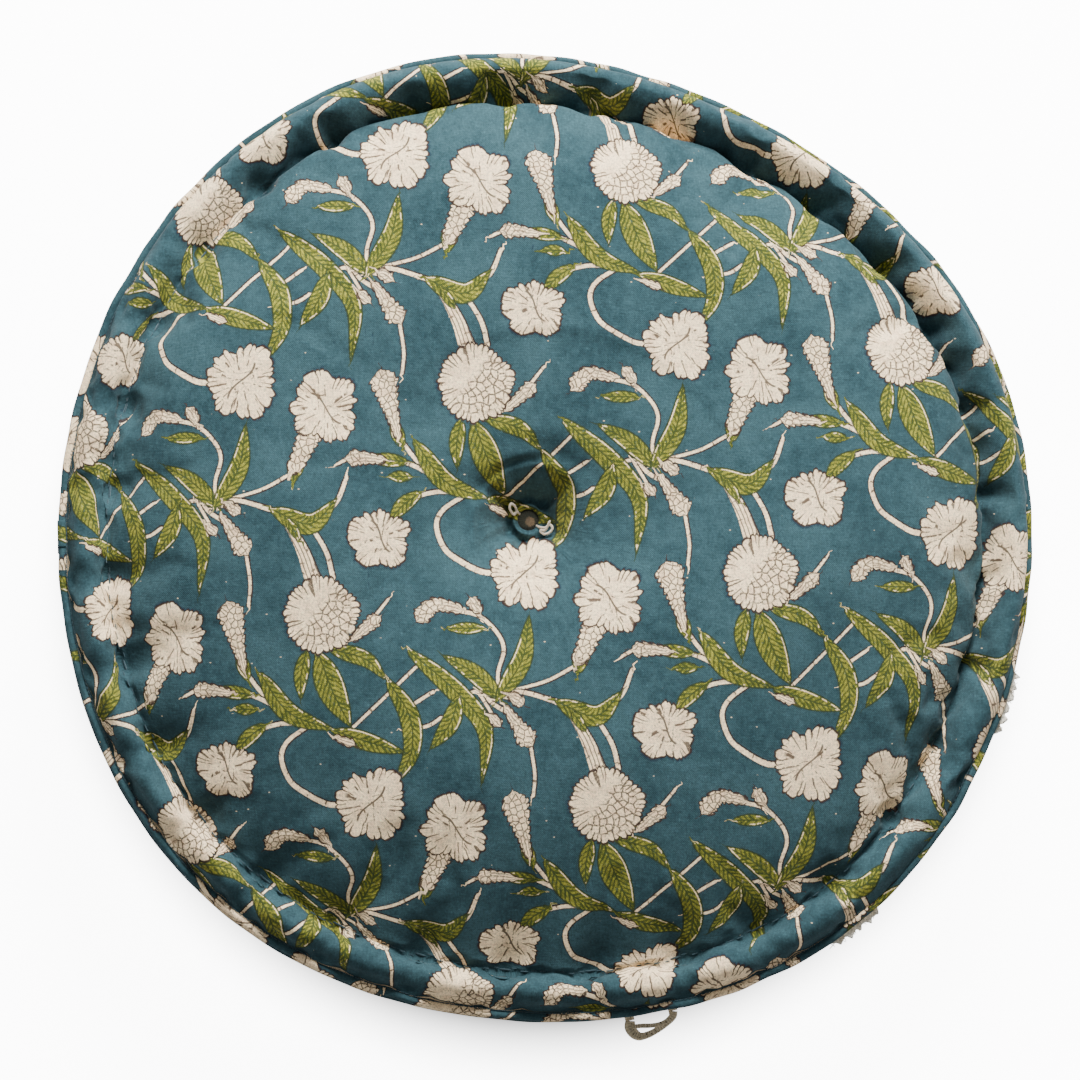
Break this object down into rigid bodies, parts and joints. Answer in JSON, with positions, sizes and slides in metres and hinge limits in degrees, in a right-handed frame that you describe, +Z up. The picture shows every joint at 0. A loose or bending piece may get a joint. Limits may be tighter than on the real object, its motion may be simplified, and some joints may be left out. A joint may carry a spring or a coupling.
{
  "type": "floor cushion",
  "caption": "Round tufted floor cushion in block-printed cotton, with stitched rolled edges, welted seams, covered tuft buttons and a woven hanging loop.",
  "frame": {"origin": "on the floor under the middle of the cushion", "axes": "+Z up through the domed top; the hanging loop is on the -Y side"},
  "size_m": [0.6008, 0.6083, 0.1391],
  "materials": {
    "printed_cloth": "matte",
    "welt_cloth": "matte",
    "button_cloth": "matte",
    "cotton_cord": "matte",
    "cotton_wadding": "matte",
    "stitching_thread": "matte",
    "tufting_twine": "matte",
    "felt": "matte",
    "button_metal": "satin",
    "woven_tape": "matte",
    "raw_cotton": "matte"
  },
  "bodies": {
    "cushion": {"top_panel": "printed_cloth", "bottom_panel": "printed_cloth", "front_boxing": "printed_cloth", "back_boxing": "printed_cloth", "boxing_seam_plies": "printed_cloth", "top_welt": "welt_cloth", "bottom_welt": "welt_cloth", "top_welt_cord": "cotton_cord", "bottom_welt_cord": "cotton_cord", "top_roll_wadding": "cotton_wadding", "bottom_roll_wadding": "cotton_wadding", "top_roll_stitches": "stitching_thread", "bottom_roll_stitches": "stitching_thread", "base_batt": "cotton_wadding", "middle_batt": "cotton_wadding", "upper_batt": "cotton_wadding", "crown_pad": "cotton_wadding", "tuft_twine": "tufting_twine", "twine_knot": "tufting_twine", "tuft_tails": "tufting_twine", "top_washer": "felt", "bottom_washer": "felt", "loop_ends": "woven_tape", "loop_bar_tacks": "stitching_thread", "selvedge_strip": "raw_cotton", "closing_stitches": "stitching_thread"},
    "top_button": {"top_button_cover": "button_cloth", "top_button_shell": "button_metal", "top_button_back": "button_metal"},
    "bottom_button": {"bottom_button_cover": "button_cloth", "bottom_button_shell": "button_metal", "bottom_button_back": "button_metal"},
    "loop": {"hang_loop": "woven_tape"}
  },
  "joints": [
    {"name": "loop_swing", "type": "hinge", "parent": "cushion", "child": "loop", "pos_m": [0.06778, -0.29358, 0.0114], "axis": [-0.9744, -0.225, 0], "range_deg": [-30, 90]},
    {"name": "top_button_tilt", "type": "hinge", "parent": "cushion", "child": "top_button", "pos_m": [-0.012, 0.01, 0.095], "axis": [1, 0, 0], "range_deg": [-8, 8], "stiffness_Nm_per_rad": 0.02},
    {"name": "bottom_button_tilt", "type": "hinge", "parent": "cushion", "child": "bottom_button", "pos_m": [-0.012, 0.01, 0.022], "axis": [1, 0, 0], "range_deg": [-8, 8], "stiffness_Nm_per_rad": 0.02}
  ]
}
